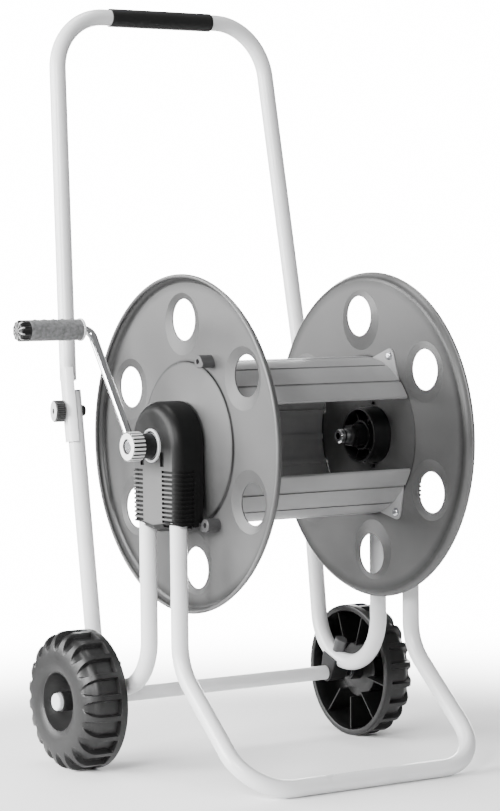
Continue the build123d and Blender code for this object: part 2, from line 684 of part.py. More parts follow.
with BuildPart() as hub_screws:
    with BuildSketch(across(seat_x + cup_wall, 0, reel_z)):
        with PolarLocations(hub_screw_circle, 2, start_angle=90):
            Circle(2 * screw_r)
    extrude(amount=screw_head)
    fillet(hub_screws.faces().group_by(Axis.X)[-1].edges(), screw_head * 0.6)
    with BuildSketch(across(seat_x + cup_wall, 0, reel_z)):
        with PolarLocations(hub_screw_circle, 2, start_angle=90):
            Circle(screw_r)
    extrude(amount=-screw_long)
    mirror(about=Plane.YZ)
hub_screws.part.label = "hub_screws"
export_step(hub_screws.part, "parts/hub_screws.step")

# The stepped metal nipple inside the drum, where the hose is pushed on.
with BuildPart() as hose_nipple:
    groove_x = nipple_end_x + nipple_lead
    with BuildSketch(reel_profile):
        with BuildLine():
            Polyline((nipple_end_x, water_r), (nipple_end_x, nipple_r - 1.5), (nipple_end_x + 1.5, nipple_r),
                     (groove_x, nipple_r), (groove_x, nipple_r - 2 * seal_r),
                     (groove_x + 2 * seal_r, nipple_r - 2 * seal_r), (groove_x + 2 * seal_r, nipple_r),
                     (boss_face_x - nut_face, nipple_r), (boss_face_x - nut_face, nipple_core_r),
                     (boss_face_x, nipple_core_r), (boss_face_x, water_r), (nipple_end_x, water_r))
        make_face()
    revolve(axis=reel_axis)
hose_nipple.part.label = "hose_nipple"
export_step(hose_nipple.part, "parts/hose_nipple.step")

with BuildPart() as nipple_nut:
    with BuildSketch(across(boss_face_x, 0, reel_z)):
        RegularPolygon(hub_boss_r, 6)
        Circle(nipple_core_r, mode=Mode.SUBTRACT)
    extrude(amount=-nut_face)
    chamfer(nipple_nut.faces().sort_by(Axis.X)[0].outer_wire().edges(), 0.8)
nipple_nut.part.label = "nipple_nut"
export_step(nipple_nut.part, "parts/nipple_nut.step")

with BuildPart() as nipple_seal:
    with BuildSketch(reel_profile):
        with Locations((groove_x + seal_r, nipple_r - seal_r)):
            Circle(seal_r - 0.02)
    revolve(axis=reel_axis)
nipple_seal.part.label = "nipple_seal"
export_step(nipple_seal.part, "parts/nipple_seal.step")

# ---------------------------------------------------------------- hub covers

def cover_outline(inset):
    """Outline of a hub cover: a round top, tapered sides and a blunt point below."""
    with BuildSketch(Plane.XY) as outline:
        Circle(cover_r - inset)
        with BuildLine():
            Polyline((-cover_half + inset, cover_low - reel_z + inset), (0, cover_apex - reel_z + inset),
                     (cover_half - inset, cover_low - reel_z + inset), (0, 0),
                     (-cover_half + inset, cover_low - reel_z + inset))
        make_face()
        make_hull()
    return outline.sketch


def cover_body(inset):
    """The cover's solid, moved in from its outer surface by an inset."""
    with BuildPart() as body:
        with BuildSketch(across(cover_back, 0, reel_z)):
            add(cover_outline(inset))
        extrude(amount=cover_face - inset - cover_back)
        front = body.faces().sort_by(Axis.X)[-1]
        fillet(front.edges(), cover_soft - inset)
    return body


cover_skin = cover_body(0)
cover_core = cover_body(slot_deep)
cover_space = cover_body(cover_wall)
with BuildPart() as cover_slots:
    for step in range(slot_count):
        with BuildSketch(across(cover_back + slot_back, 0, slot_low_z + step * slot_pitch)):
            with Locations((strip_half + cover_r / 2, 0), (-strip_half - cover_r / 2, 0)):
                Rectangle(cover_r, slot_high)
        extrude(amount=cover_r)
with BuildPart() as cover_pockets:
    for step in range(slot_count):
        with BuildSketch(across(cover_face - pocket_deep, 0, slot_low_z + step * slot_pitch)):
            with Locations((strip_half + pocket_wide / 2, 0), (-strip_half - pocket_wide / 2, 0)):
                Rectangle(pocket_wide, slot_high)
        extrude(amount=cover_r)
    with BuildSketch(across(cover_face - pocket_deep, 0, notch_z)):
        with Locations((notch_y, 0), (-notch_y, 0)):
            Rectangle(notch_w, notch_high)
    extrude(amount=cover_r)

# A shallow step in the back edge lets the stave nuts pass as the reel turns.
with BuildPart() as cover_relief:
    with BuildSketch(across(cover_back, 0, reel_z)):
        Circle(tab_circle + drop_r + drop_tail)
        Circle(tab_circle - drop_r - relief_play, mode=Mode.SUBTRACT)
    extrude(amount=face_out + drop_long + relief_play - cover_back)

with BuildPart() as hub_cover_right:
    add(cover_skin.part)
    add(cover_slots.part, mode=Mode.SUBTRACT)
    add(cover_core.part)
    add(cover_space.part, mode=Mode.SUBTRACT)
    add(cover_pockets.part, mode=Mode.SUBTRACT)
    add(cover_relief.part, mode=Mode.SUBTRACT)
    # Notches for the two tubes in the bottom, and the bearing's hole in the face.
    for tube_y in (front_y, rear_y):
        with BuildSketch(Plane.XY.offset(cover_apex - cover_r)):
            with Locations((hub_tube_x, tube_y)):
                Circle(tube_r + saddle_gap)
            with Locations((hub_tube_x - cover_r / 2, tube_y)):
                Rectangle(cover_r, 2 * (tube_r + saddle_gap))
        extrude(amount=2 * cover_r, mode=Mode.SUBTRACT)
    with BuildSketch(across(cover_back, 0, reel_z)):
        Circle(bush_r)
    extrude(amount=cover_face, mode=Mode.SUBTRACT)
hub_cover_right.part.label = "hub_cover_right"
export_step(hub_cover_right.part, "parts/hub_cover_right.step")

with BuildPart() as hub_cover_left:
    mirror(hub_cover_right.part, about=Plane.YZ)
hub_cover_left.part.label = "hub_cover_left"
export_step(hub_cover_left.part, "parts/hub_cover_left.step")

# The plate behind the tubes closes the cover towards the reel.
with BuildPart() as hub_plate_right:
    with BuildSketch(across(plate_x, 0, reel_z)):
        add(cover_outline(cover_wall + bolt_play))
        Circle(bush_r, mode=Mode.SUBTRACT)
        with Locations(*plate_screw_places):
            Circle(screw_r, mode=Mode.SUBTRACT)
    extrude(amount=plate_t)
hub_plate_right.part.label = "hub_plate_right"
export_step(hub_plate_right.part, "parts/hub_plate_right.step")

with BuildPart() as hub_plate_left:
    mirror(hub_plate_right.part, about=Plane.YZ)
hub_plate_left.part.label = "hub_plate_left"
export_step(hub_plate_left.part, "parts/hub_plate_left.step")

with BuildPart() as plate_screws:
    with BuildSketch(across(plate_x, 0, reel_z)):
        with Locations(*plate_screw_places):
            Circle(2 * screw_r)
    extrude(amount=-screw_head)
    with BuildSketch(across(plate_x, 0, reel_z)):
        with Locations(*plate_screw_places):
            Circle(screw_r)
    extrude(amount=plate_t + screw_head)
    mirror(about=Plane.YZ)
plate_screws.part.label = "plate_screws"
export_step(plate_screws.part, "parts/plate_screws.step")

# Left: a plain bush for the crank's shaft. Right: the fixed water spindle, on which the
# reel turns.
with BuildPart() as bearing_bush:
    with BuildSketch(across(-plate_x, 0, reel_z)):
        Circle(bush_r)
        Circle(shaft_r + running, mode=Mode.SUBTRACT)
    extrude(amount=-(bush_end_x - plate_x))
bearing_bush.part.label = "bearing_bush"
export_step(bearing_bush.part, "parts/bearing_bush.step")

with BuildPart() as water_spindle:
    with BuildSketch(reel_profile):
        with BuildLine():
            Polyline((spindle_in_x, water_r), (spindle_in_x, shaft_r - 1), (spindle_in_x + 1, shaft_r),
                     (seal_x - seal_r, shaft_r), (seal_x - seal_r, shaft_r - 2 * seal_r),
                     (seal_x + seal_r, shaft_r - 2 * seal_r), (seal_x + seal_r, shaft_r),
                     (plate_x, shaft_r), (plate_x, bush_r), (bush_end_x, bush_r),
                     (bush_end_x, shaft_r), (elbow_x - elbow_r, shaft_r), (elbow_x - elbow_r, water_r),
                     (spindle_in_x, water_r))
        make_face()
    revolve(axis=reel_axis)
water_spindle.part.label = "water_spindle"
export_step(water_spindle.part, "parts/water_spindle.step")

with BuildPart() as spindle_seal:
    with BuildSketch(reel_profile):
        with Locations((seal_x, shaft_r - seal_r)):
            Circle(seal_r - 0.02)
    revolve(axis=reel_axis)
spindle_seal.part.label = "spindle_seal"
export_step(spindle_seal.part, "parts/spindle_seal.step")

# The elbow outside the right cover, with the plug-in end for the tap hose pointing down.
with BuildPart() as inlet_elbow:
    with BuildSketch(across(elbow_x - elbow_r - elbow_socket, 0, reel_z)):
        Circle(elbow_r)
    extrude(amount=elbow_r + elbow_socket)
    with BuildSketch(Plane((elbow_x, 0, reel_z - 2 * elbow_r))):
        Circle(elbow_r)
    extrude(amount=2 * elbow_r)
    with Locations((elbow_x, 0, reel_z)):
        Sphere(elbow_r)
    with BuildSketch(across(elbow_x - elbow_r - elbow_socket, 0, reel_z)):
        Circle(shaft_r)
    extrude(amount=elbow_socket, mode=Mode.SUBTRACT)
    with BuildSketch(across(elbow_x - elbow_r, 0, reel_z)):
        Circle(water_r)
    extrude(amount=elbow_r, mode=Mode.SUBTRACT)
    with BuildSketch(Plane((elbow_x, 0, reel_z - 2 * elbow_r))):
        Circle(water_r)
    extrude(amount=2 * elbow_r, mode=Mode.SUBTRACT)
inlet_elbow.part.label = "inlet_elbow"
export_step(inlet_elbow.part, "parts/inlet_elbow.step")

inlet_plane = Plane((elbow_x, 0, reel_z - 2 * elbow_r), x_dir=(1, 0, 0), z_dir=(0, -1, 0))
inlet_axis = Axis((elbow_x, 0, 0), (0, 0, 1))
pin_end = inlet_neck + inlet_long
lip_top = pin_end + 2 * inlet_slope + inlet_waist
with BuildPart() as inlet_nipple:
    with BuildSketch(inlet_plane):
        with BuildLine():
            Polyline((water_r, 0), (inlet_neck_r, 0), (inlet_neck_r, -inlet_neck), (inlet_r, -inlet_neck),
                     (inlet_r, -pin_end), (waist_r, -pin_end - inlet_slope),
                     (waist_r, -pin_end - inlet_slope - inlet_waist), (inlet_r, -lip_top),
                     (inlet_r, -lip_top - inlet_lip), (waist_r, -lip_top - 2 * inlet_lip),
                     (water_r, -lip_top - 2 * inlet_lip), (water_r, 0))
        make_face()
    revolve(axis=inlet_axis)
inlet_nipple.part.label = "inlet_nipple"
export_step(inlet_nipple.part, "parts/inlet_nipple.step")

# ---------------------------------------------------------------- crank

with BuildPart() as crank_bezel:
    with BuildSketch(across(-cover_face, 0, reel_z)):
        Circle(bezel_r)
        Circle(bezel_r - bezel_wall, mode=Mode.SUBTRACT)
    extrude(amount=-bezel_high)
    chamfer(crank_bezel.faces().sort_by(Axis.X)[0].edges(), 0.6)
crank_bezel.part.label = "crank_bezel"
export_step(crank_bezel.part, "parts/crank_bezel.step")

hub_in_x, hub_out_x = arm_x + crank_hub_half, arm_x - crank_hub_half
with BuildPart() as crank_shaft:
    with BuildSketch(across(-shaft_end_x, 0, reel_z)):
        Circle(shaft_r)
    extrude(amount=hub_in_x + shaft_end_x)
    with BuildSketch(across(hub_in_x, 0, reel_z)):
        Circle(collar_out_r)
    extrude(amount=-(hub_in_x + bush_end_x + side_play))
    with BuildSketch(Plane((-pin_x, 0, reel_z), x_dir=(1, 0, 0), z_dir=(0, 0, 1))):
        Circle(cross_pin_r)
    extrude(amount=hub_boss_r, both=True, mode=Mode.SUBTRACT)
    with BuildSketch(across(hub_in_x, 0, reel_z)):
        Circle(bolt_r)
    extrude(amount=crank_screw_grip, mode=Mode.SUBTRACT)
crank_shaft.part.label = "crank_shaft"
export_step(crank_shaft.part, "parts/crank_shaft.step")

with BuildPart() as shaft_pin:
    with BuildSketch(Plane((-pin_x, 0, reel_z), x_dir=(1, 0, 0), z_dir=(0, 0, 1))):
        Circle(cross_pin_r)
    extrude(amount=hub_boss_r - 0.5, both=True)
shaft_pin.part.label = "shaft_pin"
export_step(shaft_pin.part, "parts/shaft_pin.step")

arm_tip = Vector(arm_x, arm_long * sin(radians(arm_lean)), reel_z + arm_long * cos(radians(arm_lean)))
arm_dir = Vector(0, sin(radians(arm_lean)), cos(radians(arm_lean)))
arm_foot = Vector(arm_x, 0, reel_z) - arm_dir * arm_tail
crank_rod = bent_tube([tuple(arm_foot), tuple(arm_tip), (grip_in, arm_tip.Y, arm_tip.Z)], arm_bend, arm_r)
with BuildPart() as crank_arm:
    add(crank_rod.part)
    with BuildSketch(across(grip_in, arm_tip.Y, arm_tip.Z)):
        Circle(pin_r)
    extrude(amount=cap_end - grip_in + pin_back)
    with BuildSketch(across(hub_out_x, 0, reel_z)):
        Circle(bolt_r)
    extrude(amount=hub_in_x - hub_out_x, mode=Mode.SUBTRACT)
crank_arm.part.label = "crank_arm"
export_step(crank_arm.part, "parts/crank_arm.step")

with BuildPart() as crank_hub:
    with BuildSketch(across(hub_in_x, 0, reel_z)):
        Circle(crank_hub_r)
        with PolarLocations(crank_hub_r, crank_ribs):
            Circle(rib_gap_r, mode=Mode.SUBTRACT)
    extrude(amount=hub_out_x - hub_in_x)
    with BuildSketch(across(hub_out_x, 0, reel_z)):
        Circle(crank_hub_r - rib_gap_r / 2)
    extrude(amount=1.5)
    chamfer(crank_hub.faces().sort_by(Axis.X)[0].edges(), 0.5)
    with BuildSketch(across(hub_out_x, 0, reel_z)):
        Circle(recess_r)
    extrude(amount=recess_deep, mode=Mode.SUBTRACT)
    with BuildSketch(across(hub_out_x, 0, reel_z)):
        Circle(bolt_r)
    extrude(amount=hub_in_x - hub_out_x, mode=Mode.SUBTRACT)
    add(crank_rod.part, mode=Mode.SUBTRACT)
crank_hub.part.label = "crank_hub"
export_step(crank_hub.part, "parts/crank_hub.step")

with BuildPart() as crank_screw:
    with BuildSketch(across(hub_out_x + recess_deep, 0, reel_z)):
        Circle(recess_r - 1)
    extrude(amount=1 - recess_deep)
    fillet(crank_screw.faces().sort_by(Axis.X)[0].edges(), 1)
    with BuildSketch(across(hub_out_x + recess_deep, 0, reel_z)):
        Circle(bolt_r)
    extrude(amount=hub_in_x - hub_out_x - recess_deep + crank_screw_grip)
crank_screw.part.label = "crank_screw"
export_step(crank_screw.part, "parts/crank_screw.step")

with BuildPart() as crank_grip:
    with BuildSketch(across(grip_in - collar_wide, arm_tip.Y, arm_tip.Z)):
        Circle(grip_r)
        Circle(pin_r + running, mode=Mode.SUBTRACT)
    extrude(amount=grip_out - grip_in + collar_wide)
crank_grip.part.label = "crank_grip"
export_step(crank_grip.part, "parts/crank_grip.step")

with BuildPart() as grip_collar:
    with BuildSketch(across(grip_in - side_play, arm_tip.Y, arm_tip.Z)):
        Circle(grip_r + 1)
        Circle(pin_r + running, mode=Mode.SUBTRACT)
    extrude(amount=side_play - collar_wide)
    chamfer(grip_collar.edges().filter_by(GeomType.CIRCLE).group_by(SortBy.RADIUS)[-1], 0.7)
grip_collar.part.label = "grip_collar"
export_step(grip_collar.part, "parts/grip_collar.step")

with BuildPart() as grip_cap:
    with BuildSketch(across(grip_out, arm_tip.Y, arm_tip.Z)):
        Circle(grip_r)
    extrude(amount=cap_end - grip_out)
    fillet(grip_cap.faces().sort_by(Axis.X)[0].edges(), 2.0)
    with BuildSketch(across(grip_out, arm_tip.Y, arm_tip.Z)):
        Circle(pin_r + running)
    extrude(amount=cap_end - grip_out + pin_back / 2, mode=Mode.SUBTRACT)
grip_cap.part.label = "grip_cap"
export_step(grip_cap.part, "parts/grip_cap.step")
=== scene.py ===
import json
import math

import bmesh
import bpy
import numpy as np
from mathutils import Matrix, Vector


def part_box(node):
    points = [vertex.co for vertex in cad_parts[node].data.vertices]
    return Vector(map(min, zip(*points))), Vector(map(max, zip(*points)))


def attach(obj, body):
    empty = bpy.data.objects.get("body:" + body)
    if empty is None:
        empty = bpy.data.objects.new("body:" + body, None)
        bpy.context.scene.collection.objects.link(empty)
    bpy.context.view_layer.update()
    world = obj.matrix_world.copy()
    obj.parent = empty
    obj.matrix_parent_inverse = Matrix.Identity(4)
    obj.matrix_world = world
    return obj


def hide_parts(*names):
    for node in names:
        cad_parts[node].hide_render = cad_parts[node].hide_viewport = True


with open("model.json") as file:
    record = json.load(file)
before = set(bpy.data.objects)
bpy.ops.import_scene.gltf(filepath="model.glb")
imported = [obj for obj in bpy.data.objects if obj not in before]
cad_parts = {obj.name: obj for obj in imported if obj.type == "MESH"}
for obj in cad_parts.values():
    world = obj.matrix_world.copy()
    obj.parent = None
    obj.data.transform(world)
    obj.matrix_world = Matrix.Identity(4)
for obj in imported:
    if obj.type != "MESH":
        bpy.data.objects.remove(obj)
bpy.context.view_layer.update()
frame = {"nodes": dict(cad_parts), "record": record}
nodes = frame["nodes"]

# ---------------------------------------------------------------- camera

CAMERA_PLACE = Vector((-1.8122, -2.6305, 0.5752))
CAMERA_YAW, CAMERA_PITCH, CAMERA_ROLL = -33.938, -2.68, -0.622
LENS, SENSOR = 120.86, 36.0
BACKDROP_SIDE, BACKDROP, AMBIENT = (0.567, 0.823, -0.047), 16.0, 0.30
BACKDROP_FROM, BACKDROP_FULL = 0.88, 0.95   # cosines of the angles over which the backdrop brightens
FLOOR_HALF = 3.0
FLOOR_SOLID, FLOOR_GONE = 0.45, 1.30    # metres from the middle over which the floor fades out

LIGHTS = [     # name, place, aim, size in metres, power in watts
    ("key", (-2.5, -1.7, 1.7), (0, 0, 0.45), 1.0, 110),
    ("left", (-3.0, 0.5, 1.2), (0, 0, 0.40), 1.6, 260),
    ("gloss", (-2.4, 2.3, 1.2), (0, 0, 0.40), 1.6, 130),
    ("top", (0.0, 0.5, 3.0), (0, 0, 0.4), 1.2, 45),
    ("front", (0.9, -3.0, 1.5), (0, 0, 0.4), 1.2, 4),
]


def add_camera():
    """The photo's viewpoint, from its yaw, pitch and roll."""
    yaw, pitch, roll = (math.radians(v) for v in (CAMERA_YAW, CAMERA_PITCH, CAMERA_ROLL))
    forward = Vector((-math.sin(yaw) * math.cos(pitch), math.cos(yaw) * math.cos(pitch), math.sin(pitch)))
    level = Vector((math.cos(yaw), math.sin(yaw), 0))
    upright = level.cross(forward)
    right = level * math.cos(roll) + upright * math.sin(roll)
    up = upright * math.cos(roll) - level * math.sin(roll)
    data = bpy.data.cameras.new("camera")
    data.lens, data.sensor_width = LENS, SENSOR
    data.clip_end = 50
    camera = bpy.data.objects.new("camera", data)
    axes = Matrix((right, up, -forward)).transposed().to_4x4()
    camera.matrix_world = Matrix.Translation(CAMERA_PLACE) @ axes
    bpy.context.collection.objects.link(camera)
    bpy.context.scene.camera = camera


# ---------------------------------------------------------------- light and floor

def area_light(name, place, target, size, power):
    data = bpy.data.lights.new(name, "AREA")
    data.energy = power
    data.size = size
    light = bpy.data.objects.new(name, data)
    aim = (Vector(target) - Vector(place)).to_track_quat("-Z", "Y")
    light.matrix_world = Matrix.Translation(place) @ aim.to_matrix().to_4x4()
    bpy.context.collection.objects.link(light)


def add_world():
    """Soft grey surroundings with a bright backdrop behind the cart."""
    world = bpy.data.worlds.new("studio")
    bpy.context.scene.world = world
    world.use_nodes = True
    tree = world.node_tree
    place = tree.nodes.new("ShaderNodeTexCoord")
    side = tree.nodes.new("ShaderNodeVectorMath")
    side.operation = "DOT_PRODUCT"
    side.inputs[1].default_value = BACKDROP_SIDE
    tree.links.new(place.outputs["Generated"], side.inputs[0])
    level = tree.nodes.new("ShaderNodeMapRange")
    level.interpolation_type = "SMOOTHSTEP"
    level.inputs["From Min"].default_value = BACKDROP_FROM
    level.inputs["From Max"].default_value = BACKDROP_FULL
    level.inputs["To Min"].default_value, level.inputs["To Max"].default_value = AMBIENT, BACKDROP
    tree.links.new(side.outputs["Value"], level.inputs["Value"])
    tree.links.new(level.outputs["Result"], tree.nodes["Background"].inputs["Strength"])
    tree.nodes["Background"].inputs["Color"].default_value = (1, 1, 1, 1)


def floor_finish():
    """A pale floor that fades into the backdrop away from the cart."""
    mat = material("floor_pale", (0.94, 0.94, 0.94), 0.9, 0.0, specular=0.1)
    tree = mat.node_tree
    place = tree.nodes.new("ShaderNodeTexCoord")
    reach = tree.nodes.new("ShaderNodeVectorMath")
    reach.operation = "LENGTH"
    tree.links.new(place.outputs["Object"], reach.inputs[0])
    fade = tree.nodes.new("ShaderNodeMapRange")
    fade.interpolation_type = "SMOOTHSTEP"
    fade.inputs["From Min"].default_value, fade.inputs["From Max"].default_value = FLOOR_SOLID, FLOOR_GONE
    fade.inputs["To Min"].default_value, fade.inputs["To Max"].default_value = 1.0, 0.0
    tree.links.new(reach.outputs["Value"], fade.inputs["Value"])
    tree.links.new(fade.outputs["Result"], tree.nodes["Principled BSDF"].inputs["Alpha"])
    return mat


def add_stage():
    mesh = bpy.data.meshes.new("floor")
    corners = [(x * FLOOR_HALF, y * FLOOR_HALF, 0) for x, y in ((-1, -1), (1, -1), (1, 1), (-1, 1))]
    mesh.from_pydata(corners, [], [(0, 1, 2, 3)])
    floor = bpy.data.objects.new("floor", mesh)
    bpy.context.collection.objects.link(floor)
    floor.data.materials.append(floor_finish())
    add_world()
    for light in LIGHTS:
        area_light(*light)


# ---------------------------------------------------------------- materials

def material(name, color, roughness, metallic, specular=0.5, coat=0.0):
    mat = bpy.data.materials.new(name)
    mat.use_nodes = True
    shader = mat.node_tree.nodes["Principled BSDF"]
    shader.inputs["Base Color"].default_value = (*color, 1)
    shader.inputs["Roughness"].default_value = roughness
    shader.inputs["Metallic"].default_value = metallic
    shader.inputs["Specular IOR Level"].default_value = specular
    shader.inputs["Coat Weight"].default_value = coat
    return mat


def surface(name, color, roughness, metallic=0.0, mottle=0.06, mottle_scale=14, grain=900, bump=0.08,
            bump_distance=0.0002, rough_vary=0.08, coat=0.0, specular=0.5):
    """A finish with cloudy colour, uneven roughness and a fine moulded or sprayed grain."""
    mat = material(name, color, roughness, metallic, specular, coat)
    tree = mat.node_tree
    shader = tree.nodes["Principled BSDF"]
    place = tree.nodes.new("ShaderNodeTexCoord")
    cloud = tree.nodes.new("ShaderNodeTexNoise")
    cloud.inputs["Scale"].default_value = mottle_scale
    cloud.inputs["Detail"].default_value = 6
    tree.links.new(place.outputs["Object"], cloud.inputs["Vector"])
    shade = tree.nodes.new("ShaderNodeMapRange")
    shade.inputs["From Min"].default_value, shade.inputs["From Max"].default_value = 0.3, 0.7
    shade.inputs["To Min"].default_value, shade.inputs["To Max"].default_value = 1 - mottle, 1 + mottle
    tree.links.new(cloud.outputs["Fac"], shade.inputs["Value"])
    tint = tree.nodes.new("ShaderNodeVectorMath")
    tint.operation = "SCALE"
    tint.inputs[0].default_value = color
    tree.links.new(shade.outputs["Result"], tint.inputs["Scale"])
    tree.links.new(tint.outputs["Vector"], shader.inputs["Base Color"])
    rough = tree.nodes.new("ShaderNodeMapRange")
    rough.inputs["From Min"].default_value, rough.inputs["From Max"].default_value = 0.3, 0.7
    rough.inputs["To Min"].default_value = roughness - rough_vary
    rough.inputs["To Max"].default_value = roughness + rough_vary
    tree.links.new(cloud.outputs["Fac"], rough.inputs["Value"])
    tree.links.new(rough.outputs["Result"], shader.inputs["Roughness"])
    fine = tree.nodes.new("ShaderNodeTexNoise")
    fine.inputs["Scale"].default_value = grain
    fine.inputs["Detail"].default_value = 3
    tree.links.new(place.outputs["Object"], fine.inputs["Vector"])
    relief = tree.nodes.new("ShaderNodeBump")
    relief.inputs["Strength"].default_value = bump
    relief.inputs["Distance"].default_value = bump_distance
    tree.links.new(fine.outputs["Fac"], relief.inputs["Height"])
    tree.links.new(relief.outputs["Normal"], shader.inputs["Normal"])
    return mat


def coordinates(tree):
    """Where a point is in the rest pose, with left and right folded together."""
    place = tree.nodes.new("ShaderNodeTexCoord")
    fold = tree.nodes.new("ShaderNodeVectorMath")
    fold.operation = "ABSOLUTE"
    tree.links.new(place.outputs["Object"], fold.inputs[0])
    return fold.outputs["Vector"]


def tint_of(mat):
    """The node that scales a finish's colour by its clouds."""
    return next(n for n in mat.node_tree.nodes if n.type == "VECT_MATH" and n.operation == "SCALE")


def colour_by(mat, value, low, high, stops, soft=False):
    """Colour a finish by a value in a range, from a list of (value, grey)."""
    tree = mat.node_tree
    share = tree.nodes.new("ShaderNodeMapRange")
    share.inputs["From Min"].default_value, share.inputs["From Max"].default_value = low, high
    tree.links.new(value, share.inputs["Value"])
    ramp = tree.nodes.new("ShaderNodeValToRGB")
    ramp.color_ramp.interpolation = "LINEAR" if soft else "CONSTANT"
    while len(ramp.color_ramp.elements) < len(stops):
        ramp.color_ramp.elements.new(0.5)
    for element, (at, grey) in zip(ramp.color_ramp.elements, stops):
        element.position = (at - low) / (high - low)
        element.color = (grey, grey, grey, 1)
    tree.links.new(share.outputs["Result"], ramp.inputs["Fac"])
    tree.links.new(ramp.outputs["Color"], tint_of(mat).inputs[0])
    return ramp.outputs["Color"]


def from_line(mat, point, direction):
    """Distance from a line through a point, as a node value."""
    tree = mat.node_tree
    offset = tree.nodes.new("ShaderNodeVectorMath")
    offset.operation = "SUBTRACT"
    offset.inputs[1].default_value = point
    tree.links.new(coordinates(tree), offset.inputs[0])
    cross = tree.nodes.new("ShaderNodeVectorMath")
    cross.operation = "CROSS_PRODUCT"
    cross.inputs[1].default_value = direction
    tree.links.new(offset.outputs["Vector"], cross.inputs[0])
    length = tree.nodes.new("ShaderNodeVectorMath")
    length.operation = "LENGTH"
    tree.links.new(cross.outputs["Vector"], length.inputs[0])
    return length.outputs["Value"]


def axis_value(mat, axis):
    """One coordinate of the folded place, as a node value."""
    tree = mat.node_tree
    split = tree.nodes.new("ShaderNodeSeparateXYZ")
    tree.links.new(coordinates(tree), split.inputs["Vector"])
    return split.outputs[axis]


REEL_AXIS, ALONG_X = (0.0, 0.0, 0.3858), (1, 0, 0)
NUT_POINT, NUT_DIRECTION = (0.18689, 0.19458, 0.4187), (0.97815, 0.20791, 0.0)    # the right joint's bolt
CAP_RIBS = 10


def crank_hub_finish():
    """Grey screw recess, white face ring, light ribs; the dark gaps by the ribs are painted shade."""
    mat = surface("crank_hub_plastic_painted_shade", (0.6, 0.6, 0.6), 0.4)
    # The near-black ring from 15.4 to 16.45 mm out is painted shade in the gap by the ribs.
    colour_by(mat, from_line(mat, REEL_AXIS, ALONG_X), 0.0, 0.02,
              [(0.0, 0.08), (0.0088, 0.8), (0.0154, 0.004), (0.01645, 0.6)])
    return mat


def thumb_nut_finish():
    """Dark knurled sides, and a pale end face whose paleness is a painted highlight of the light falling on it."""
    mat = surface("thumb_nut_plastic_painted_highlight", (0.02, 0.02, 0.02), 0.45)
    # The pale band from 3.2 to 12.1 mm out from the bolt is a painted highlight on the end face.
    colour_by(mat, from_line(mat, NUT_POINT, NUT_DIRECTION), 0.0, 0.02,
              [(0.0, 0.02), (0.0032, 0.6), (0.0121, 0.012), (0.0128, 0.05)])
    return mat


def cover_finish():
    """Black moulded cover whose face is painted grey as a reflection of light, paler towards the bottom; its slots
    and sides stay black.
    """
    mat = surface("cover_plastic_painted_reflection", (0.004, 0.004, 0.004), 0.48, specular=0.2)
    # Painted reflection: the face plane is lifted from black to grey, more so towards its bottom.
    face = colour_by(mat, axis_value(mat, "X"), 0.170, 0.180,
                     [(0.170, 0.0), (0.1766, 0.0), (0.1771, 1.0)], soft=True)
    low = colour_by(mat, axis_value(mat, "Z"), 0.290, 0.440,
                    [(0.290, 0.12), (0.350, 0.10), (0.385, 0.004)], soft=True)
    tree = mat.node_tree
    both = tree.nodes.new("ShaderNodeVectorMath")
    both.operation = "MULTIPLY_ADD"
    both.inputs[2].default_value = (0.004, 0.004, 0.004)
    tree.links.new(face, both.inputs[0])
    tree.links.new(low, both.inputs[1])
    tree.links.new(both.outputs["Vector"], tint_of(mat).inputs[0])
    return mat


def reel_finish():
    """Grey sprayed sheet metal, with painted shade in the creases by the pressed step and the rim, and a painted
    highlight on the lip.
    """
    mat = surface("reel_paint_painted_shade_and_highlight", (0.06, 0.06, 0.06), 0.42, mottle=0.14)
    # Painted shade in the step's crease (93.7 to 95.5 mm) and inside the rim (185.5 to 189 mm); painted highlight
    # on the lip from 192.5 mm out.
    colour_by(mat, from_line(mat, REEL_AXIS, ALONG_X), 0.0, 0.2,
              [(0.0, 0.048), (0.0915, 0.048), (0.0937, 0.007), (0.0955, 0.007), (0.0975, 0.06), (0.176, 0.06),
               (0.1855, 0.013), (0.1890, 0.02), (0.1925, 0.09), (0.196, 0.09)], soft=True)
    return mat


def cap_finish(axis):
    """Black grip cap with pale ribs that run out from its middle like a star."""
    mat = surface("grip_cap_plastic", (0.01, 0.01, 0.01), 0.4)
    tree = mat.node_tree
    split = tree.nodes.new("ShaderNodeSeparateXYZ")
    tree.links.new(coordinates(tree), split.inputs["Vector"])
    parts = []
    for letter, middle in (("Y", axis[0]), ("Z", axis[1])):
        shift = tree.nodes.new("ShaderNodeMath")
        shift.operation = "SUBTRACT"
        shift.inputs[1].default_value = middle
        tree.links.new(split.outputs[letter], shift.inputs[0])
        parts.append(shift.outputs["Value"])
    turn = tree.nodes.new("ShaderNodeMath")
    turn.operation = "ARCTAN2"
    tree.links.new(parts[0], turn.inputs[0])
    tree.links.new(parts[1], turn.inputs[1])
    many = tree.nodes.new("ShaderNodeMath")
    many.operation = "MULTIPLY"
    many.inputs[1].default_value = CAP_RIBS
    tree.links.new(turn.outputs["Value"], many.inputs[0])
    wave = tree.nodes.new("ShaderNodeMath")
    wave.operation = "COSINE"
    tree.links.new(many.outputs["Value"], wave.inputs[0])
    end = tree.nodes.new("ShaderNodeMapRange")
    end.inputs["From Min"].default_value, end.inputs["From Max"].default_value = 0.2935, 0.2965
    tree.links.new(split.outputs["X"], end.inputs["Value"])
    both = tree.nodes.new("ShaderNodeMath")
    both.operation = "MULTIPLY"
    tree.links.new(wave.outputs["Value"], both.inputs[0])
    tree.links.new(end.outputs["Result"], both.inputs[1])
    colour_by(mat, both.outputs["Value"], -1.0, 1.0, [(-1.0, 0.004), (0.70, 0.004), (0.92, 0.5)], soft=True)
    return mat


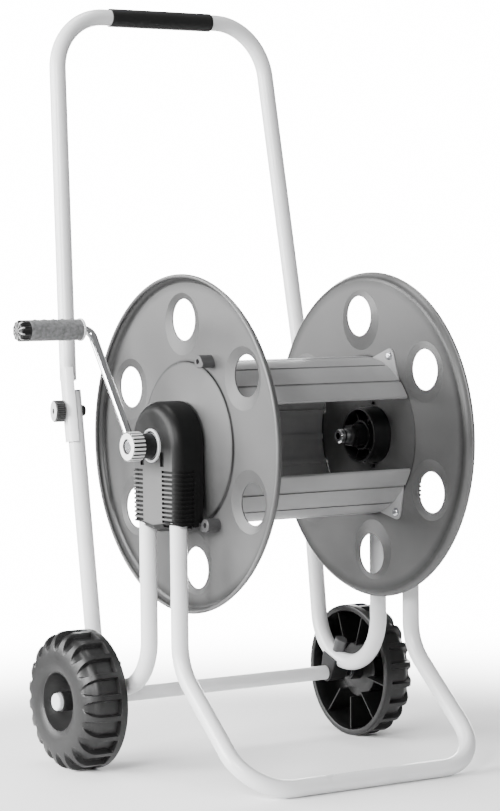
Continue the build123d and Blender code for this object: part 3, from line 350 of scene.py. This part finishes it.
def finishes():
    return {
        "tube_white": surface("powder_coat", (0.74, 0.744, 0.75), 0.34, mottle=0.03, bump=0.15, grain=700,
                              coat=0.3),
        "reel_grey": reel_finish(),
        "stave_grey": surface("stave_paint", (0.24, 0.24, 0.243), 0.42, mottle=0.12),
        "black_plastic": surface("black_plastic", (0.008, 0.008, 0.0084), 0.42, mottle=0.15, specular=0.35),
        "wheel_black": surface("wheel_plastic", (0.008, 0.008, 0.008), 0.42, mottle=0.15, specular=0.4),
        "sleeve_black": surface("sleeve_black", (0.008, 0.008, 0.008), 0.55, mottle=0.1, specular=0.3),
        "grip_grey": surface("grip_grey", (0.16, 0.162, 0.164), 0.5, mottle=0.35, mottle_scale=260, bump=0.5,
                             grain=500),
        "light_grey_plastic": surface("light_grey_plastic", (0.62, 0.63, 0.64), 0.4),
        "nut_grey": surface("nut_grey", (0.05, 0.05, 0.051), 0.42),
        "zinc": surface("zinc", (0.55, 0.56, 0.58), 0.25, metallic=1.0, mottle=0.05),
        "chrome": surface("chrome", (0.70, 0.71, 0.72), 0.08, metallic=1.0, mottle=0.01, bump=0.02,
                          rough_vary=0.03),
        "inlet_grey": surface("inlet_grey", (0.08, 0.08, 0.082), 0.42),
        "seal": surface("seal_rubber", (0.006, 0.006, 0.006), 0.6),
    }


def dress_nodes(finish):
    """Every CAD node gets its slot's finish; some then get one of their own."""
    slot_of = {row["node"]: row["material_slot"] for row in frame["record"]["subparts"]}
    for name, piece in nodes.items():
        for slot in piece.material_slots:
            slot.material = finish[slot_of[name]]
    nodes["crank_hub"].material_slots[0].material = crank_hub_finish()
    for side in ("left", "right"):
        nodes["thumb_nut_" + side].material_slots[0].material = thumb_nut_finish()
        nodes["hub_cover_" + side].material_slots[0].material = cover_finish()
    for place in ("front", "low", "back"):
        nodes["stave_" + place].material_slots[0].material = finish["stave_grey"]


# ---------------------------------------------------------------- mesh tools

MM = 0.001


def smooth(t):
    t = np.clip(t, 0.0, 1.0)
    return t * t * (3 - 2 * t)


def grid_faces(rows, columns, close_rows=False, close_columns=True):
    """Quads of a grid of points, row by row."""
    faces = []
    for i in range(rows if close_rows else rows - 1):
        for j in range(columns if close_columns else columns - 1):
            k, m = (i + 1) % rows, (j + 1) % columns
            faces.append((i * columns + j, i * columns + m, k * columns + m, k * columns + j))
    return faces


def add_piece(name, points, faces, finish, body, instead_of, sharp=35.0):
    """A mesh piece in metres that rides on a body and stands for some CAD nodes."""
    mesh = bpy.data.meshes.new(name)
    mesh.from_pydata([tuple(p) for p in points], [], faces)
    mesh.validate()
    form = bmesh.new()
    form.from_mesh(mesh)
    bmesh.ops.recalc_face_normals(form, faces=form.faces)
    form.to_mesh(mesh)
    form.free()
    mesh.shade_smooth()
    mesh.set_sharp_from_angle(angle=math.radians(sharp))
    piece = bpy.data.objects.new(name, mesh)
    bpy.context.collection.objects.link(piece)
    piece.data.materials.append(finish)
    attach(piece, body)
    if instead_of:
        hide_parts(*instead_of)
    return piece


def joined(*shapes):
    """One list of points and faces out of several."""
    points, faces = [], []
    for more_points, more_faces in shapes:
        base = len(points)
        points.extend(tuple(p) for p in more_points)
        faces.extend(tuple(base + k for k in face) for face in more_faces)
    return points, faces


def around_x(x, radius, angle, axis):
    """Points on circles about a line along X; the angle is from straight up, towards the back."""
    return np.stack([x, axis[0] + radius * np.sin(angle), axis[1] + radius * np.cos(angle)], axis=-1)


def lathe(section, axis, steps=96, closed=False):
    """A turned form about a line along X, from a section of (x, radius) in metres."""
    run = np.array(section, float)
    angle = np.arange(steps) * 2 * math.pi / steps
    points = around_x(run[:, :1] + 0 * angle, run[:, 1:] + 0 * angle, angle[None, :] + 0 * run[:, :1], axis)
    return points.reshape(-1, 3), grid_faces(len(run), steps, close_rows=closed)


# ---------------------------------------------------------------- wheels

LUGS, RIBS, FIRST_RIB = 20, 9, 20        # ribs on the hollow side, and the first one's angle in degrees
LUG_DEEP = 6.0 * MM
POCKET_HALF = 7.0              # degrees each side of the middle of the gap between two lugs
POCKET_WALL = 1.1
TREAD_R, CREST_R = 82.0 * MM, 50.0 * MM
WHEEL_IN, SHOULDER_X, WHEEL_OUT = 186.0 * MM, 214.0 * MM, 236.0 * MM
RIM_END = 195.0 * MM
TIP_ANGLE, ROUND_FROM = 75.0, 18.0     # along the shoulder: where a pocket ends and starts to narrow


def wheel_run():
    """The outside of the wheel from rim to boss: (x, radius, normal x, normal r, pocket half angle, depth)."""
    rows = []
    for x, r, nx, nr in [(186, 79.0, -1, 0), (186, 80.4, -1, 0), (186.3, 81.2, -0.8, 0.6), (187, 81.8, -0.4, 0.9),
                         (188, 82, 0, 1), (194.9, 82, 0, 1)]:
        rows.append((x * MM, r * MM, nx, nr, POCKET_HALF, 0.0))
    for share in np.linspace(0, 1, 5):
        rows.append((RIM_END + 1.0 * MM * share, TREAD_R, 0, 1, POCKET_HALF, LUG_DEEP * smooth(share)))
    for x in np.linspace(RIM_END + 3 * MM, SHOULDER_X - 2 * MM, 6):
        rows.append((x, TREAD_R, 0, 1, POCKET_HALF, LUG_DEEP))
    wide, high = WHEEL_OUT - SHOULDER_X, TREAD_R - CREST_R
    for turn in np.concatenate([np.arange(0, 60, 4), np.arange(60, 80, 2), np.arange(80, 90.1, 2.5)]):
        a = math.radians(turn)
        s, c = max(math.sin(a), 1e-6) ** 0.88, max(math.cos(a), 1e-6) ** 0.88
        nx, nr = s ** 1.27 / wide, c ** 1.27 / high
        length = math.hypot(nx, nr)
        q = min(max((turn - ROUND_FROM) / (TIP_ANGLE - ROUND_FROM), 0.0), 1.0)
        half = max(POCKET_HALF * (1 - q ** 2.4) ** 0.5, 0.25)
        depth = LUG_DEEP * (1 - smooth((turn - 42) / (TIP_ANGLE + 2 - 42)))
        rows.append((SHOULDER_X + wide * s, CREST_R + high * c, nx / length, nr / length, half, depth))
    for x, r in [(235.9, 47), (235.7, 44), (235.2, 41), (234.4, 38.5), (233.5, 36.6), (232.9, 35.6), (233.0, 35.0),
                 (232.8, 34.5), (232.2, 34.2), (231.4, 34.0), (224, 30.2), (214, 24.6), (207, 20.5), (205.6, 19.2),
                 (205, 17.6), (205, 16), (205, 14), (205.5, 12.4), (206.5, 11.9), (218, 11.8), (229.8, 11.7),
                 (230.7, 11.4), (231, 10.7), (231, 9.5), (231, 8.0), (210, 8.0), (186, 8.0), (186, 11.2),
                 (186.6, 12), (195, 12), (201.5, 12.4), (202, 14), (202, 25), (202, 33.5), (202.6, 34.6),
                 (215, 35.8), (229, 37.2), (231.5, 40), (232.6, 46), (231.6, 55), (228, 64), (222, 71),
                 (214, 74), (200, 74.2), (188, 74.4), (186.4, 75), (186, 76.2)]:
        rows.append((x * MM, r * MM, 0, 0, 0.25, 0.0))
    return np.array(rows)


def wheel_shape(axis):
    run = wheel_run()
    x, r, nx, nr, half, depth = (run[:, k:k + 1] for k in range(6))
    pitch = 180.0 / LUGS
    wall = np.linspace(0, 1, 5)
    # One side of one lug's pitch: from the middle of the lug over the wall to the pocket's middle.
    side, sunk = [pitch + 0 * half, (pitch + half) / 2], [0.0, 0.0]
    for share in wall:
        side.append(np.maximum(half - POCKET_WALL * share, half * (1 - share * 0.5)))
        sunk.append(float(smooth(share)))
    for share in (0.66, 0.33):
        side.append(side[6] * share)
        sunk.append(1.0)
    local = np.hstack([-k for k in side] + [0 * half] + side[:0:-1])
    share = np.array(sunk + [1.0] + sunk[:0:-1])
    angle = np.hstack([local + 2 * pitch * k for k in range(LUGS)])
    cut = depth * np.tile(share, LUGS)[None, :]
    points = around_x(x - nx * cut, r - nr * cut, np.radians(angle), axis)
    return points.reshape(-1, 3), grid_faces(len(run), angle.shape[1], close_rows=True)


def rib_shape(axis, turn):
    """A thin rib in the hollow inner side, from the middle tube to the rim."""
    edge = [(190, 34.2), (190, 74.6), (214, 74.6), (222.4, 71.4), (228.5, 64.4), (232, 55), (233, 46), (232, 39.8),
            (229.2, 36.8), (215, 35.4), (202.6, 34.2)]
    c, s = math.cos(math.radians(turn)), math.sin(math.radians(turn))
    points = []
    for side in (-0.8, 0.8):
        for x, r in edge:
            points.append((x * MM, axis[0] + (r * s + side * c) * MM, axis[1] + (r * c - side * s) * MM))
    count = len(edge)
    faces = [tuple(range(count)), tuple(range(2 * count - 1, count - 1, -1))]
    faces += [(k, (k + 1) % count, count + (k + 1) % count, count + k) for k in range(count)]
    return points, faces


def add_wheels(finish):
    for side, sign in (("right", 1), ("left", -1)):
        low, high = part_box("wheel_" + side)
        axis = ((low.y + high.y) / 2, (low.z + high.z) / 2)
        ribs = [rib_shape(axis, FIRST_RIB + k * 360 / RIBS) for k in range(RIBS)]
        points, faces = joined(wheel_shape(axis), *ribs)
        points = [(sign * p[0], p[1], p[2]) for p in points]
        add_piece("tyre_" + side, points, faces, finish["wheel_black"], "wheel_" + side, ["wheel_" + side],
                  sharp=40)


# ---------------------------------------------------------------- hand grip

CAP_RIB_HIGH, CAP_ROUND, CAP_PIN_DEEP = 0.9 * MM, 3.0 * MM, 8.0 * MM
CAP_FACE = (8.4, 7.2, 6.2, 5.0, 4.0, 2.6, 1.2, 0.02)    # radii of the rings on the cap's face
GRIP_R, BORE_R, COLLAR_R = 12.3 * MM, 4.06 * MM, 13.3 * MM
BUMPS, BUMP_PITCH, BUMP_HIGH, BUMP_WIDE = 5, 12.0 * MM, 0.8 * MM, 1.8 * MM


def turned(section, axis, swell, steps=120):
    """A turned form whose outer radius is changed by swell(x, angle)."""
    run = np.array(section, float)
    angle = np.arange(steps) * 2 * math.pi / steps
    x, r = run[:, :1] + 0 * angle, run[:, 1:] + 0 * angle
    outer = r > BORE_R * 1.5
    r = np.where(outer, r + swell(x, angle[None, :] + 0 * x), r)
    points = around_x(x, r, angle[None, :] + 0 * x, axis)
    return points.reshape(-1, 3), grid_faces(len(run), steps, close_rows=True)


def turning_axis(name):
    """Where the line along X through the middle of a node lies: (y, z)."""
    low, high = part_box(name)
    return (low.y + high.y) / 2, (low.z + high.z) / 2


def add_sleeve(finish):
    """The grained sleeve, with a row of small bumps on its upper side."""
    low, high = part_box("crank_grip")
    axis = turning_axis("crank_grip")
    inner, outer = high.x, low.x
    places = [(inner + outer) / 2 + (k - (BUMPS - 1) / 2) * BUMP_PITCH for k in range(BUMPS)]

    def bumps(x, angle):
        around = (angle + math.pi) % (2 * math.pi) - math.pi
        return sum(BUMP_HIGH * np.exp(-((x - at) ** 2 + (GRIP_R * around) ** 2) / BUMP_WIDE ** 2)
                   for at in places)

    section = [(inner, BORE_R), (inner, GRIP_R - 0.4 * MM), (inner - 0.4 * MM, GRIP_R)]
    section += [(x, GRIP_R) for x in np.linspace(inner - 1.2 * MM, outer + 1.2 * MM, 120)]
    section += [(outer + 0.3 * MM, GRIP_R), (outer, GRIP_R - 0.3 * MM), (outer, BORE_R)]
    points, faces = turned(section, axis, bumps)
    add_piece("grip_sleeve", points, faces, finish["grip_grey"], "grip", ["crank_grip"], sharp=50)


def add_ring(finish):
    """The collar at the inner end of the sleeve."""
    low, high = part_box("grip_collar")
    a, b = high.x, low.x
    section = [(a, BORE_R), (a, COLLAR_R - 0.8 * MM), (a - 0.3 * MM, COLLAR_R - 0.2 * MM),
               (a - 0.8 * MM, COLLAR_R), (b + 0.6 * MM, COLLAR_R), (b + 0.1 * MM, COLLAR_R - 0.5 * MM),
               (b, COLLAR_R - 0.9 * MM), (b, BORE_R)]
    points, faces = lathe(section, turning_axis("crank_grip"), closed=True)
    add_piece("grip_ring", points, faces, finish["light_grey_plastic"], "grip", ["grip_collar"])


def rib_sink(angle):
    """How far the cap's surface lies below its ribs."""
    return CAP_RIB_HIGH * (1 - smooth((np.cos(CAP_RIBS * angle) - 0.1) / 0.6))


def add_cap():
    """The end cap, with ribs that run over its edge towards the middle."""
    low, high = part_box("grip_cap")
    axis = turning_axis("crank_grip")
    a, b = high.x, low.x

    def ribs(x, angle):
        return -rib_sink(angle) * smooth((a - x) / (2.0 * MM))

    section = [(a, BORE_R), (a, GRIP_R - 0.2 * MM), (a - 0.2 * MM, GRIP_R)]
    section += [(x, GRIP_R) for x in np.linspace(a - 0.8 * MM, b + 3.2 * MM, 12)]
    for turn in range(10, 91, 10):
        t = math.radians(turn)
        section.append((b + CAP_ROUND * (1 - math.sin(t)), GRIP_R - CAP_ROUND * (1 - math.cos(t))))
    face = len(section)
    section += [(b, r * MM) for r in CAP_FACE]
    section += [(b + CAP_PIN_DEEP, 0.02 * MM), (b + CAP_PIN_DEEP, BORE_R - 0.01 * MM)]
    points, faces = turned(section, axis, ribs)
    points = points.reshape(len(section), -1, 3)
    angle = np.arange(points.shape[1]) * 2 * math.pi / points.shape[1]
    sink = rib_sink(angle)
    for row in range(face - 3, face + 4):
        points[row, :, 0] += sink * (0.4 if row < face else 1.0)
    add_piece("grip_star", points.reshape(-1, 3), faces, cap_finish(axis), "grip", ["grip_cap"])


add_camera()
add_stage()
finish = finishes()
dress_nodes(finish)
add_wheels(finish)
add_sleeve(finish)
add_ring(finish)
add_cap()
